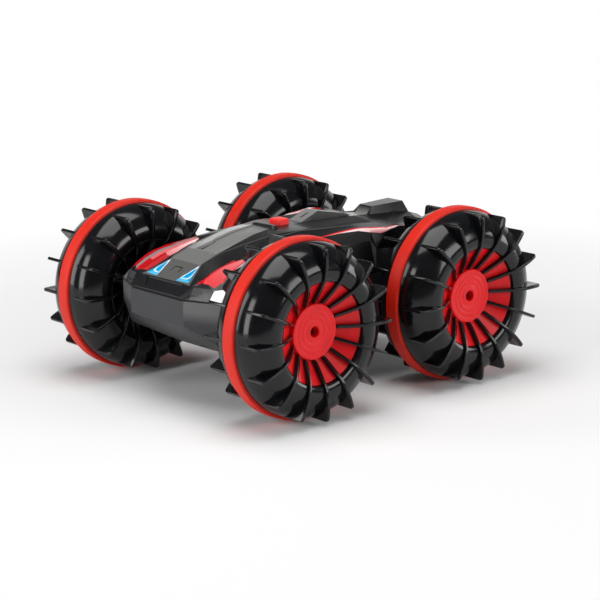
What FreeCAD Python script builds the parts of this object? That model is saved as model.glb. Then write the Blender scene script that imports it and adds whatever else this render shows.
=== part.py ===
"""Amphibious radio-controlled stunt car with four finned float wheels, in millimetres.

+X is forward, +Y is the car's left and +Z is up. The origin is on the floor under the middle of the
wheelbase. Shapes are drawn with z = 0 at the axles and lifted by AXLE_HEIGHT when they are written.
A wheel is drawn about the Y axis with its tread band at y = 0 and its outboard side towards +Y.
"""

import FreeCAD, Part
import math
import os

from FreeCAD import Vector, Rotation, Placement

# ---------------------------------------------------------------- driving dimensions
WHEEL_RADIUS = 50.0
WHEELBASE = 117.0
BAND_TRACK = 150.0
AXLE_HEIGHT = WHEEL_RADIUS
HALF_BASE = WHEELBASE / 2
HALF_TRACK = BAND_TRACK / 2

BAND_WIDTH = 8.6
BAND_INNER_RADIUS = 46.6
FIN_COUNT = 16
FIN_THICKNESS = 1.5
FLOAT_WALL = 1.6

AXLE_RADIUS = 2.0
AXLE_BORE = 2.05
POST_RADIUS = 1.5
POST_BORE = 1.56

SHELL_WALL = 1.8
SEAM_LOW = 12.0
SEAM_HIGH = 13.0

GEAR_MODULE = 1.0
AXLE_TEETH = 22
IDLER_TEETH = 33
MIDDLE_TEETH = 29
MOTOR_MODULE = 0.8
MOTOR_WHEEL_TEETH = 30
PINION_TEETH = 10
SHAFT_RADIUS = 1.0
PILOT_RADIUS = 1.1
BACKLASH = 0.12

GEAR_FACE = (36.2, 40.8)
MOTOR_WHEEL_FACE = (31.6, 35.0)
PLATE_FACE = (28.5, 30.5)
IDLER_X = HALF_BASE - GEAR_MODULE * (AXLE_TEETH + IDLER_TEETH) / 2
MOTOR_HEIGHT = MOTOR_MODULE * (MOTOR_WHEEL_TEETH + PINION_TEETH) / 2

SIDES = {"left": 1, "right": -1}
ENDS = {"front": 1, "rear": -1}
UP = Vector(0, 0, 1)
SIDEWAYS = Vector(0, 1, 0)
FORWARD = Vector(1, 0, 0)


# ---------------------------------------------------------------- helpers
def write(name, *shapes):
    """Lifts the solids to the floor frame and writes them as one node."""
    solids = [s for shape in shapes for s in shape.Solids]
    made = solids[0] if len(solids) == 1 else Part.makeCompound(solids)
    made = made.copy()
    made.translate(Vector(0, 0, AXLE_HEIGHT))
    if not made.isValid():
        print("not valid:", name)
    print(f"{name:26s} solids {len(solids):2d} faces {len(made.Faces):4d} volume {made.Volume:9.1f}")
    made.exportStep(f"parts/{name}.step")


def moved(shape, x=0.0, y=0.0, z=0.0):
    made = shape.copy()
    made.translate(Vector(x, y, z))
    return made


def turned(shape, axis, degrees, centre=Vector(0, 0, 0)):
    made = shape.copy()
    made.rotate(centre, axis, degrees)
    return made


def mirrored(shape):
    """The same shape on the other side of the car."""
    return shape.mirror(Vector(0, 0, 0), SIDEWAYS)


def on_side(shape, side):
    return shape if side > 0 else mirrored(shape)


def rod(radius, y0, y1, x=0.0, z=0.0):
    """A round bar along the Y axis."""
    return Part.makeCylinder(radius, y1 - y0, Vector(x, y0, z), SIDEWAYS)


def post(radius, x, y, z0, z1):
    """A round bar along the Z axis."""
    return Part.makeCylinder(radius, z1 - z0, Vector(x, y, z0), UP)


def block(x0, x1, y0, y1, z0, z1):
    return Part.makeBox(x1 - x0, y1 - y0, z1 - z0, Vector(x0, y0, z0))


def prism(outline, z0, z1):
    """A closed outline of (x, y) points, raised from z0 to z1."""
    points = [Vector(x, y, z0) for x, y in outline]
    face = Part.Face(Part.makePolygon(points + points[:1]))
    return face.extrude(Vector(0, 0, z1 - z0))


def side_prism(outline, y0, y1):
    """A closed outline of (x, z) points, pushed from y0 to y1."""
    points = [Vector(x, y0, z) for x, z in outline]
    face = Part.Face(Part.makePolygon(points + points[:1]))
    return face.extrude(Vector(0, y1 - y0, 0))


def turned_profile(edges):
    """Revolves a closed chain of edges in the XY plane, x as radius, about the Y axis."""
    face = Part.Face(Part.Wire(edges))
    return face.revolve(Vector(0, 0, 0), SIDEWAYS, 360)


def chain(points):
    """Edges through (radius, y) points. A point marked "via" makes its neighbours one arc."""
    edges = []
    at = 0
    while at < len(points) - 1:
        start = Vector(points[at][0], points[at][1], 0)
        step = 2 if len(points[at + 1]) == 3 else 1
        end = Vector(points[at + step][0], points[at + step][1], 0)
        if step == 2:
            via = Vector(points[at + 1][0], points[at + 1][1], 0)
            edges.append(Part.Arc(start, via, end).toShape())
        else:
            edges.append(Part.makeLine(start, end))
        at += step
    return edges


def ring_profile(points):
    return turned_profile(chain(points + points[:1]))


def plane_face(points):
    return Part.Face(Part.makePolygon(list(points) + [points[0]]))


def facets_between(near, far):
    """Flat faces that join two outlines: one where four corners share a plane, else two triangles."""
    faces = []
    count = len(near)
    for n in range(count):
        a, b = near[n], near[(n + 1) % count]
        c, d = far[(n + 1) % count], far[n]
        normal = (b - a).cross(d - a)
        if abs((c - a).dot(normal)) < 1e-6 * max(normal.Length, 1e-9):
            faces.append(plane_face([a, b, c, d]))
        elif (a.y + b.y) * (b.y - a.y) > 0:
            faces += [plane_face([a, b, d]), plane_face([b, c, d])]
        else:
            faces += [plane_face([a, b, c]), plane_face([a, c, d])]
    return faces


def loft(sections):
    """A flat-faceted solid through sections, each (x, [(y, z), ...]) and mirrored across y = 0."""
    outlines = []
    for x, half in sections:
        right = [(-y, z) for y, z in reversed(half)]
        outlines.append([Vector(x, y, z) for y, z in half + right])
    faces = [plane_face(outlines[0]), plane_face(outlines[-1])]
    for near, far in zip(outlines, outlines[1:]):
        faces += facets_between(near, far)
    return Part.makeSolid(Part.makeShell(faces)).removeSplitter()


# ---------------------------------------------------------------- wheels
BAND_SEAT = 46.5
SHOULDER = (48.3, 5.4)
LIP_RADIUS = 28.2
BOSS_RADIUS = 15.2
BOSS_FACE = 12.7
DISH_FOOT = 9.6
CAP_RIM = (28.0, 18.0)
SCREW_HOLE = 2.9
SCREW_SEAT = 6.6
CORE_END = 5.4
CORE_RADIUS = 6.5


def float_outer_line():
    """The outside of a float half from its seam to its lip, as (radius, y) points."""
    return [
        (BAND_SEAT, 0.05), (BAND_SEAT, 4.5), (SHOULDER[0], 4.5), SHOULDER,
        (47.0, 10.4), (43.8, 15.6), (38.9, 19.5), (33.6, 20.9), (28.9, 20.3), (LIP_RADIUS, 19.2),
    ]


def float_inner_line():
    """The inside of a float half from its lip back to its seam."""
    return [
        (30.4, 19.0), (38.4, 17.8), (43.0, 14.0), (46.6, 5.9),
        (BAND_SEAT - FLOAT_WALL, 4.5), (BAND_SEAT - FLOAT_WALL, 0.05),
    ]


FIN_OUTLINE = [
    (15.7, 10.3), (15.7, 12.9), (22.0, 17.4), (29.5, 22.0), (37.5, 23.5), (46.0, 23.0), (47.6, 21.6),
    (47.9, 8.8),
]
FIN_LIFT = 0.02
FIN_SEAT_FROM = 4


def fins():
    """The flat fins of both float halves. Each one's root follows its bowl and stands just clear of it."""
    seat = float_outer_line()[FIN_SEAT_FROM:]
    root = [(radius + FIN_LIFT, y + FIN_LIFT) for radius, y in seat[:-2]]
    root += [(radius - FIN_LIFT, y + FIN_LIFT) for radius, y in seat[-2:]]
    outline = FIN_OUTLINE + root + [(LIP_RADIUS - FIN_LIFT, 18.3)]
    points = [Vector(radius, y, -FIN_THICKNESS / 2) for radius, y in outline]
    fin = plane_face(points).extrude(Vector(0, 0, FIN_THICKNESS))
    ring = [turned(fin, SIDEWAYS, 360.0 / FIN_COUNT * n) for n in range(FIN_COUNT)]
    return Part.makeCompound(ring + [turned(fin, FORWARD, 180) for fin in ring])


def float_outer():
    """Outboard float half: a rounded bowl, open in the middle for the hub cap."""
    lip = [(LIP_RADIUS, 16.6), (30.4, 16.6)]
    return ring_profile(float_outer_line() + lip + float_inner_line())


def float_inner():
    """Inboard float half: the same bowl, closed by a dish that carries the drive core."""
    dish = [
        (LIP_RADIUS, 18.0), (BOSS_RADIUS, DISH_FOOT), (AXLE_RADIUS, DISH_FOOT), (AXLE_RADIUS, -CORE_END),
        (CORE_RADIUS, -CORE_END), (CORE_RADIUS, 7.8), (BOSS_RADIUS + 0.6, 7.8), (29.4, 16.6),
    ]
    return turned(ring_profile(float_outer_line() + dish + float_inner_line()), FORWARD, 180)


def tread_band():
    half = BAND_WIDTH / 2
    return ring_profile([
        (BAND_INNER_RADIUS, -half), (49.2, -half), (WHEEL_RADIUS, -half + 1.2), (WHEEL_RADIUS, half - 1.2),
        (49.2, half), (BAND_INNER_RADIUS, half),
    ])


def hub_cap():
    """Dished cap in the open middle of the outer float, with a raised boss and a deep screw recess."""
    return ring_profile([
        CAP_RIM, (BOSS_RADIUS, DISH_FOOT), (BOSS_RADIUS, BOSS_FACE - 0.6), (BOSS_RADIUS - 0.6, BOSS_FACE),
        (SCREW_HOLE, BOSS_FACE), (SCREW_HOLE, SCREW_SEAT), (1.3, SCREW_SEAT), (1.3, CORE_END),
        (CORE_RADIUS, CORE_END), (CORE_RADIUS, 10.6), (BOSS_RADIUS - 1.6, 10.6),
        (BOSS_RADIUS - 1.6, DISH_FOOT - 1.4), (27.2, 15.8), (28.0, 16.6),
    ])


AXLE_INNER_END = PLATE_FACE[0] - HALF_TRACK


def axle():
    """Steel shaft from the gear plate to the hub, with a threaded hole in its outer end."""
    shaft = rod(AXLE_RADIUS, AXLE_INNER_END - 1.0, CORE_END)
    return shaft.cut(rod(PILOT_RADIUS, -3.0, CORE_END))


def wheel_screw():
    return rod(2.5, SCREW_SEAT, SCREW_SEAT + 1.6).fuse(rod(PILOT_RADIUS, -2.0, SCREW_SEAT)).removeSplitter()


# ---------------------------------------------------------------- gears
def gear(teeth, module, y0, y1, bore, phase=0.0, hub=None):
    """Spur gear about the Y axis. phase turns a tooth, in degrees, from the +X direction towards +Z."""
    pitch = module * teeth / 2
    outer = pitch + 0.95 * module
    root = pitch - 1.2 * module
    quarter = 90.0 / teeth
    slack = math.degrees(BACKLASH / pitch)
    flank = ((root, -1.5), (outer, -0.46), (outer, 0.46), (root, 1.5))
    outline = []
    for tooth in range(teeth):
        middle = phase + 360.0 * tooth / teeth
        for radius, share in flank:
            ease = -slack if share > 0 else slack
            angle = math.radians(middle + quarter * share + ease)
            outline.append((radius * math.cos(angle), radius * math.sin(angle)))
    body = side_prism(outline, y0, y1)
    if hub:
        body = body.fuse(rod(hub[0], hub[1], hub[2]))
    return body.cut(rod(bore, y0 - 20, y1 + 20))


def axle_gear(end):
    """Gear on a wheel's shaft. The rear one is turned by half a tooth to meet its idler."""
    phase = 0.0 if end > 0 else 180.0 / AXLE_TEETH
    wheel = gear(AXLE_TEETH, GEAR_MODULE, *GEAR_FACE, AXLE_RADIUS, phase, (4.5, 34.5, 43.0))
    return moved(wheel, y=-HALF_TRACK)


def idler(end):
    """Gear between a wheel's gear and the middle one, with a gap between teeth on its +X side."""
    wheel = gear(IDLER_TEETH, GEAR_MODULE, *GEAR_FACE, POST_BORE, 180.0 / IDLER_TEETH, (4.0, 35.5, 43.5))
    return moved(wheel, x=IDLER_X * end)


def middle_gear():
    """Two-step gear: the wide step drives both idlers and the small step takes the motor's pinion."""
    wide = gear(MIDDLE_TEETH, GEAR_MODULE, *GEAR_FACE, POST_BORE, 180.0 / MIDDLE_TEETH, (4.0, 31.0, 43.5))
    small = gear(MOTOR_WHEEL_TEETH, MOTOR_MODULE, *MOTOR_WHEEL_FACE, POST_BORE, 90.0)
    return wide.fuse(small).cut(rod(POST_BORE, 20, 60))


def rotor():
    """Motor shaft with its pinion, above the middle gear and in mesh with its small step."""
    pinion = gear(PINION_TEETH, MOTOR_MODULE, *MOTOR_WHEEL_FACE, 0.5, -90.0 + 180.0 / PINION_TEETH)
    shaft = rod(SHAFT_RADIUS, 14.0, MOTOR_WHEEL_FACE[1])
    return moved(pinion.fuse(shaft).removeSplitter(), z=MOTOR_HEIGHT)


# ---------------------------------------------------------------- body outlines
# Each section is (x, half outline). Upper sections run seam, fender edge, ridge, valley, crease, hood.
# Lower sections run seam, side foot, chine, floor edge, keel edge.
UPPER = [
    (96.0, [(23.0, 13.0), (21.5, 13.3), (19.0, 13.5), (16.0, 13.6), (13.0, 13.7), (7.0, 13.7)]),
    (90.2, [(37.7, 13.0), (33.5, 17.0), (28.7, 20.6), (23.6, 19.6), (19.4, 19.8), (8.3, 20.2)]),
    (87.0, [(44.5, 13.0), (38.4, 18.2), (30.7, 23.6), (24.0, 20.8), (18.4, 21.4), (8.3, 21.8)]),
    (82.0, [(46.0, 13.0), (39.6, 21.0), (30.8, 26.2), (24.0, 22.6), (15.8, 24.0), (8.3, 24.3)]),
    (76.0, [(46.5, 13.0), (38.2, 25.0), (31.0, 28.4), (24.4, 24.8), (13.0, 27.1), (8.3, 27.3)]),
    (73.3, [(46.7, 13.0), (37.2, 26.6), (31.0, 29.2), (24.5, 25.8), (14.4, 28.3), (7.8, 28.5)]),
    (62.5, [(47.0, 13.0), (37.0, 29.0), (31.2, 30.7), (25.0, 28.6), (15.2, 31.4), (7.5, 31.8)]),
    (48.0, [(47.0, 13.0), (39.0, 29.5), (29.0, 32.3), (24.0, 31.4), (16.0, 34.5), (8.7, 35.0)]),
    (34.0, [(47.0, 13.0), (41.0, 30.0), (28.5, 33.6), (24.0, 34.4), (18.2, 37.0), (8.4, 37.9)]),
    (21.2, [(47.0, 13.0), (42.0, 30.7), (29.0, 34.2), (24.0, 35.6), (17.5, 37.8), (7.5, 39.2)]),
    (9.6, [(47.0, 13.0), (42.0, 31.0), (29.5, 34.2), (24.5, 36.2), (20.0, 38.2), (7.5, 39.0)]),
    (-24.0, [(47.0, 13.0), (42.4, 30.6), (33.0, 34.6), (25.0, 36.0), (20.0, 37.6), (7.5, 38.1)]),
    (-30.0, [(47.0, 13.0), (40.6, 24.6), (36.0, 34.4), (25.6, 35.6), (20.0, 36.9), (7.5, 37.8)]),
    (-40.0, [(47.0, 13.0), (39.6, 23.2), (39.4, 33.9), (26.4, 34.9), (20.0, 35.9), (7.5, 37.3)]),
    (-49.0, [(47.0, 13.0), (39.2, 23.0), (39.0, 35.0), (27.5, 34.0), (20.0, 34.9), (7.5, 36.6)]),
    (-58.0, [(46.8, 13.0), (38.6, 23.0), (38.4, 33.6), (27.4, 32.6), (20.0, 33.6), (7.5, 35.8)]),
    (-76.6, [(46.0, 13.0), (40.0, 22.0), (34.0, 27.8), (26.0, 28.8), (20.0, 30.4), (7.5, 35.2)]),
    (-87.5, [(41.0, 13.0), (36.0, 21.0), (29.0, 26.0), (24.0, 27.6), (18.0, 29.3), (7.0, 33.6)]),
    (-96.0, [(27.0, 13.0), (25.0, 19.0), (21.0, 23.6), (17.0, 25.8), (13.0, 27.6), (6.0, 30.8)]),
    (-100.0, [(20.0, 13.0), (19.0, 17.6), (17.0, 21.4), (14.0, 24.0), (11.0, 26.2), (5.0, 28.8)]),
]
LOWER = [
    (97.2, [(23.3, 12.0), (23.6, 0.0), (23.8, -1.8), (18.0, -2.4), (8.0, -2.4)]),
    (92.5, [(33.0, 12.0), (33.4, 0.0), (31.0, -6.0), (22.0, -8.0), (9.0, -8.2)]),
    (86.9, [(44.8, 12.0), (44.9, 0.0), (38.0, -11.0), (23.6, -12.4), (10.0, -12.6)]),
    (83.0, [(46.0, 12.0), (46.1, -1.0), (40.0, -13.6), (23.6, -15.0), (12.0, -15.4)]),
    (69.0, [(47.0, 12.0), (47.0, -7.0), (43.4, -17.0), (22.6, -22.0), (12.0, -22.4)]),
    (56.0, [(47.0, 12.0), (47.0, -7.0), (44.4, -20.0), (24.0, -27.0), (12.0, -27.4)]),
    (40.0, [(47.0, 12.0), (47.0, -7.0), (45.0, -21.0), (27.0, -31.5), (12.0, -31.5)]),
    (-40.0, [(47.0, 12.0), (47.0, -7.0), (45.0, -21.0), (27.0, -31.5), (12.0, -31.5)]),
    (-56.0, [(47.0, 12.0), (47.0, -7.0), (44.4, -20.0), (24.0, -27.4), (12.0, -27.8)]),
    (-70.0, [(46.6, 12.0), (46.6, -7.0), (43.0, -17.0), (22.6, -21.4), (12.0, -21.8)]),
    (-84.0, [(43.4, 12.0), (43.4, -3.0), (37.0, -11.6), (20.0, -13.0), (10.0, -13.2)]),
    (-96.0, [(27.2, 12.0), (27.4, 1.0), (25.0, -3.4), (16.0, -4.4), (7.0, -4.4)]),
    (-100.0, [(20.0, 12.0), (20.4, 4.0), (18.0, 1.0), (12.0, 0.6), (6.0, 0.6)]),
]


def plan(inset):
    """The body's outline at the seam, pulled in by inset."""
    left = [(x, half[0][0] - inset) for x, half in UPPER]
    left[0] = (left[0][0] - inset, left[0][1])
    left[-1] = (left[-1][0] + inset, left[-1][1])
    return left + [(x, -y) for x, y in reversed(left)]


def hull_seal():
    """Rubber gasket between the two body halves."""
    return prism(plan(0.5), SEAM_LOW, SEAM_HIGH).cut(prism(plan(1.5), SEAM_LOW - 1, SEAM_HIGH + 1))


# ---------------------------------------------------------------- lower hull and what it carries
PILLARS = [(76.0, 14.0), (76.0, -14.0), (-76.0, 14.0), (-76.0, -14.0)]
PILLAR_RADIUS = 3.4
PILLAR_JOINT = 12.5
SCREW_HEAD_RADIUS = 2.3
SCREW_HEAD_Z = 1.0
SCREW_TIP = 21.0
BELLY = -31.5
DOOR_HALF = (33.0, 21.0)
DOOR_DEPTH = 1.2
DOOR_OPENING = (28.0, 18.0)
DOOR_SCREW_X = 30.6
BUSH_RADIUS = 4.0


def pillar_holes():
    """Screw holes of the body's four pillars, wide below the screw's head."""
    holes = []
    for x, y in PILLARS:
        holes.append(post(PILOT_RADIUS + 0.3, x, y, -40, PILLAR_JOINT))
        holes.append(post(SCREW_HEAD_RADIUS + 0.4, x, y, -40, SCREW_HEAD_Z))
    return holes


def axle_spots():
    return [(HALF_BASE * end, side) for end in ENDS.values() for side in SIDES.values()]


def hull_lower():
    """Boat-shaped lower half: chined walls, screw pillars, plate ribs and a battery opening."""
    outer = loft(LOWER)
    ribs = []
    for x in (-50.0, 50.0):
        ribs += [block(x - 2, x + 2, y - 2.5, y + 2.5, -40, -PLATE_HALF_HEIGHT) for y in (29.5, -29.5)]
    pillars = [post(PILLAR_RADIUS, x, y, -40, PILLAR_JOINT) for x, y in PILLARS]
    inside = loft_inside(LOWER, -1, SEAM_LOW)
    column = prism(plan(0.5), -40, SEAM_LOW).common(outer)
    body = outer.cut(inside).multiFuse([rib.common(column) for rib in ribs])
    tall = loft([(x, [(half[0][0], PILLAR_JOINT)] + half[1:]) for x, half in LOWER])
    body = body.multiFuse([pillar.common(tall) for pillar in pillars])
    half_x, half_y = DOOR_HALF
    open_x, open_y = DOOR_OPENING
    cuts = pillar_holes()
    cuts.append(block(-half_x, half_x, -half_y, half_y, -40, BELLY + DOOR_DEPTH))
    cuts.append(block(-open_x, open_x, -open_y, open_y, -40, -20))
    cuts.append(post(PILOT_RADIUS, DOOR_SCREW_X, 0, -40, -27))
    cuts += [rod(BUSH_RADIUS, -60, 60, x=HALF_BASE * end) for end in ENDS.values()]
    boss = post(2.6, DOOR_SCREW_X + 0.2, 0, BELLY + DOOR_DEPTH, -25).common(outer)
    return body.fuse(boss).cut(Part.makeCompound(cuts))


def loft_inside(sections, direction, opening):
    """The hollow of a lofted body half: each section pulled in by the wall and run out at the seam."""
    inner = []
    last = len(sections) - 1
    for index, (x, half) in enumerate(sections):
        shift = -SHELL_WALL if index == 0 else SHELL_WALL if index == last else 0.0
        foot = (half[0][0] - SHELL_WALL, opening - direction * 2.0)
        pulled = []
        for y, z in half[1:]:
            away = max((z - direction * SHELL_WALL - opening) * direction, 0.1)
            pulled.append((y - SHELL_WALL, opening + direction * away))
        inner.append((x + shift, [foot] + pulled))
    return loft(inner)


PLATE_HALF_HEIGHT = 11.5
PLATE_HALF_LENGTH = 66.0
MOTOR_RADIUS = 10.0
MOTOR_FLAT = 7.6
MOTOR_END = 3.0


def gear_plate():
    """Plate behind one side's gear train, with its posts, spacers and the motor's shaft hole."""
    y0, y1 = PLATE_FACE
    h = PLATE_HALF_HEIGHT
    length = PLATE_HALF_LENGTH
    plate = side_prism([
        (-length, -h), (length, -h), (length, h), (22.0, h), (14.0, 27.0), (-14.0, 27.0), (-22.0, h),
        (-length, h),
    ], y0, y1)
    grown = [plate]
    for x, spacer in ((IDLER_X, 35.3), (-IDLER_X, 35.3), (0.0, 30.8)):
        grown.append(rod(3.2, y1 - 0.1, spacer, x=x))
        grown.append(rod(POST_RADIUS, y1 - 0.1, 44.8, x=x))
    body = grown[0].multiFuse(grown[1:])
    holes = [rod(AXLE_BORE, y0 - 1, y1 + 1, x=HALF_BASE * end) for end in ENDS.values()]
    holes.append(rod(2.2, y0 - 1, y1 + 1, z=MOTOR_HEIGHT))
    return body.cut(Part.makeCompound(holes))


def motor():
    """Small can motor with two flats, its face against the gear plate."""
    can = rod(MOTOR_RADIUS, MOTOR_END + 2.0, PLATE_FACE[0], z=MOTOR_HEIGHT)
    cap = rod(MOTOR_RADIUS - 1.2, MOTOR_END, MOTOR_END + 2.0, z=MOTOR_HEIGHT)
    flats = block(-MOTOR_FLAT, MOTOR_FLAT, 0, 40, MOTOR_HEIGHT - 20, MOTOR_HEIGHT + 20)
    body = can.fuse(cap).common(flats)
    return body.cut(rod(SHAFT_RADIUS + 0.05, 13.7, 40, z=MOTOR_HEIGHT))


def axle_bushes():
    """Four flanged bearings that carry the wheel shafts through the hull's sides."""
    bush = turned_profile(chain([
        (AXLE_BORE, 44.4), (BUSH_RADIUS, 44.4), (BUSH_RADIUS, 47.0), (6.5, 47.0), (6.5, 48.6), (4.6, 52.0),
        (AXLE_BORE, 52.0), (AXLE_BORE, 44.4),
    ]))
    return [on_side(moved(bush, x=x), side) for x, side in axle_spots()]


def battery_pack():
    """Two round cells side by side in one sleeve, resting on the battery door."""
    radius = 7.3
    base = BELLY + DOOR_DEPTH
    cells = [Part.makeCylinder(radius, 52.0, Vector(-26, y, base + radius), FORWARD) for y in (-radius, radius)]
    web = block(-26, 26, -radius, radius, base, base + 2 * radius)
    return cells[0].multiFuse([cells[1], web]).removeSplitter()


def battery_door():
    """Rebated door in the belly, held by one screw."""
    half_x, half_y = DOOR_HALF
    door = block(-half_x + 0.2, half_x - 0.2, -half_y + 0.2, half_y - 0.2, BELLY, BELLY + DOOR_DEPTH)
    grips = [block(-24 + 4 * n, -22 + 4 * n, -8, 8, BELLY - 1, BELLY + 0.4) for n in range(4)]
    hole = post(PILOT_RADIUS + 0.2, DOOR_SCREW_X, 0, -40, -20)
    return door.cut(Part.makeCompound(grips + [hole]))


def circuit_board():
    """Receiver board under the ramp, with its switch below the power button."""
    board = block(-50.0, 13.0, -14.0, 14.0, 27.6, 29.2)
    switch = block(4.6, 11.4, -3.4, 3.4, 29.2, 32.0).fuse(post(1.6, 8.0, 0, 31.9, 33.0))
    chip = block(-30.0, -20.0, -4.0, 4.0, 29.2, 30.6)
    return board.multiFuse([switch, chip])


def screw(x, y, head_z, tip):
    """Pan-head screw that stands upright, its head below head_z."""
    head = post(SCREW_HEAD_RADIUS, x, y, head_z - 1.5, head_z)
    return head.fuse(post(PILOT_RADIUS, x, y, head_z, tip)).removeSplitter()


def body_screws():
    """The four long body screws and the battery door's short one."""
    long_ones = [screw(x, y, SCREW_HEAD_Z, SCREW_TIP) for x, y in PILLARS]
    return long_ones + [screw(DOOR_SCREW_X, 0, BELLY, -27.0)]


# ---------------------------------------------------------------- upper shell and its trims
SKIN = 0.9
ENGRAVING = 0.4
BUTTON = (8.0, 4.2, 4.5)
BUTTON_GAP = 0.35
BUTTON_FLANGE = (35.2, 36.6)
BUTTON_TOP = 42.0
FENDER_PLAN = [
    (89.6, 27.4), (85.6, 37.2), (80.0, 38.6), (72.0, 36.4), (61.0, 35.4), (61.0, 25.8), (73.0, 25.2),
    (87.0, 24.6),
]
LAMP_PLAN = [(90.6, 37.6), (87.4, 44.2), (82.4, 45.6), (82.4, 41.4), (86.4, 38.4)]
HEADLIGHT_PLAN = [(89.2, 18.9), (90.0, 8.6), (76.4, 12.6)]
STRIPE_PLAN = [
    (4.0, 29.8), (-12.0, 30.4), (-24.0, 32.6), (-30.0, 35.6), (-40.0, 39.0), (-50.0, 38.6), (-57.0, 37.4),
    (-57.0, 36.2), (-50.0, 35.2), (-38.0, 31.0), (-27.0, 28.2), (-12.0, 28.2), (4.0, 29.3),
]
CHANNEL_PLAN = [(63.0, 7.4), (50.0, 7.9), (48.4, 9.2), (37.0, 9.0), (22.0, 7.7)]
CHANNEL_FLOOR = [(63.2, 29.2), (58.4, 30.6), (48.0, 33.4), (36.8, 36.1), (27.0, 37.8), (21.6, 38.7)]
NOSE_RECESS = [(94.8, 13.0), (94.8, -13.0), (91.0, -15.6), (91.0, 15.6)]
LATCH_MARK = [(81.0, 80.6, 3.4, -3.4), (84.0, 81.0, 3.4, 3.0), (84.8, 81.0, -3.0, -3.4)]


def region(outline, side=1):
    """A tall column over an outline of (x, y) points on one side of the car."""
    return on_side(prism(outline, SEAM_HIGH + 0.2, 60.0), side)


def inlay(outer, column, side=0):
    """A skin-deep plate that follows the shell's outside within a column."""
    lowered = moved(outer, -SKIN * 0.7, -SKIN * 0.7 * side, -SKIN)
    return column.common(outer).cut(lowered)


def trims(outer):
    """The coloured plates that lie in the shell, left and right: lights, lamps, fenders and stripes."""
    made = {"headlights": [inlay(outer, region(HEADLIGHT_PLAN, side)) for side in SIDES.values()]}
    for name, outline in (("lamps", LAMP_PLAN), ("fenders", FENDER_PLAN), ("stripes", STRIPE_PLAN)):
        made[name] = [inlay(outer, region(outline, side), side) for side in SIDES.values()]
    made["hood_panel"] = [hood_panel()]
    return made


def channel(depth, inset=0.0):
    """The hood's sunk channel down to its floor and by depth below it, pulled in by inset."""
    half = [(x, y - inset) for x, y in CHANNEL_PLAN]
    column = prism(half + [(x, -y) for x, y in reversed(half)], 20, 60)
    floor = [(x, z - depth) for x, z in CHANNEL_FLOOR]
    return side_prism(floor + [(CHANNEL_FLOOR[-1][0], 60), (CHANNEL_FLOOR[0][0], 60)], -20, 20).common(column)


def hood_panel():
    """Grey plate on the floor of the hood's channel."""
    return channel(SKIN).cut(channel(0.0))


def engravings(outer):
    """Shallow marks in the shell: the nose's sunk band and the latch mark between the headlights."""
    marks = [prism(NOSE_RECESS, SEAM_HIGH + 0.2, 60)]
    marks += [prism([(x0, y0), (x0, y1), (x1, y1), (x1, y0)], 20, 60) for x0, x1, y0, y1 in LATCH_MARK]
    lowered = moved(outer, x=-ENGRAVING * 0.5, z=-ENGRAVING)
    return [mark.common(outer).cut(lowered) for mark in marks]


def rear_block():
    """Sloped block on the tail deck."""
    sections = [
        (-55.6, [(7.3, 30.0), (7.2, 36.0)]), (-59.3, [(7.4, 30.0), (5.0, 40.3)]),
        (-83.4, [(7.6, 30.0), (6.4, 40.6)]), (-87.5, [(7.2, 30.0), (7.0, 34.0)]),
    ]
    return loft(sections)


def deck_ramp(outer):
    """Wedge behind the power button, with a slot in its front face."""
    sections = [
        (-3.0, [(7.4, 34.0), (7.0, 38.6)]), (-5.0, [(7.4, 34.0), (6.8, 39.0)]),
        (-17.0, [(7.2, 34.0), (5.2, 43.5)]),
        (-39.0, [(7.0, 34.0), (4.8, 38.9)]), (-42.0, [(7.0, 34.0), (5.0, 37.6)]),
    ]
    slot = block(-14.0, -8.0, -0.8, 0.8, 39.6, 45.0)
    return loft(sections).cut(outer).cut(slot)


def hood_bar(outer):
    """Low bar across the end of the hood plate, its ends turned down."""
    sections = []
    for x, top in ((21.0, 39.6), (20.2, 40.4), (17.4, 40.6), (16.6, 39.6)):
        sections.append((x, [(10.4, 36.0), (10.2, top - 1.6), (8.4, top - 0.2), (6.0, top)]))
    return loft(sections).cut(outer)


def button_hole():
    x, half_x, half_y = BUTTON
    grown_x, grown_y = half_x + BUTTON_GAP, half_y + BUTTON_GAP
    return block(x - grown_x, x + grown_x, -grown_y, grown_y, 30, 60)


def power_button():
    """Rounded button with a flange under the shell that keeps it in."""
    x, half_x, half_y = BUTTON
    cap = block(x - half_x, x + half_x, -half_y, half_y, BUTTON_FLANGE[0], BUTTON_TOP)
    upright = [edge for edge in cap.Edges if abs(edge.tangentAt(edge.FirstParameter).z) > 0.9]
    cap = cap.makeFillet(1.2, upright)
    rim = [edge for edge in cap.Edges if edge.BoundBox.ZMin > BUTTON_TOP - 0.01]
    cap = cap.makeChamfer(0.6, rim)
    return cap.fuse(block(x - half_x - 1, x + half_x + 1, -half_y - 1, half_y + 1, *BUTTON_FLANGE))


def shell_upper(outer, plates):
    """Faceted upper half, open below, with pockets for its trims and pillars for screws and board."""
    hollow = loft_inside([section for section in UPPER if section[1][-1][1] > 18.0], 1, SEAM_HIGH)
    body = outer.fuse(rear_block()).cut(hollow).cut(channel(0.0))
    inside = [post(3.2, x, y, PILLAR_JOINT, 60) for x, y in PILLARS]
    inside += [post(2.0, x, y, 29.2, 60) for x, y in ((-44.0, 9.0), (-44.0, -9.0), (-10.0, 9.0), (-10.0, -9.0))]
    tall = loft([(x, [(half[0][0], PILLAR_JOINT)] + half[1:]) for x, half in UPPER])
    body = body.multiFuse([pillar.common(tall) for pillar in inside])
    cuts = [post(PILOT_RADIUS, x, y, 0, SCREW_TIP) for x, y in PILLARS]
    cuts += [button_hole()] + engravings(outer) + [plate for pair in plates.values() for plate in pair]
    return body.cut(Part.makeCompound(cuts))


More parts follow.
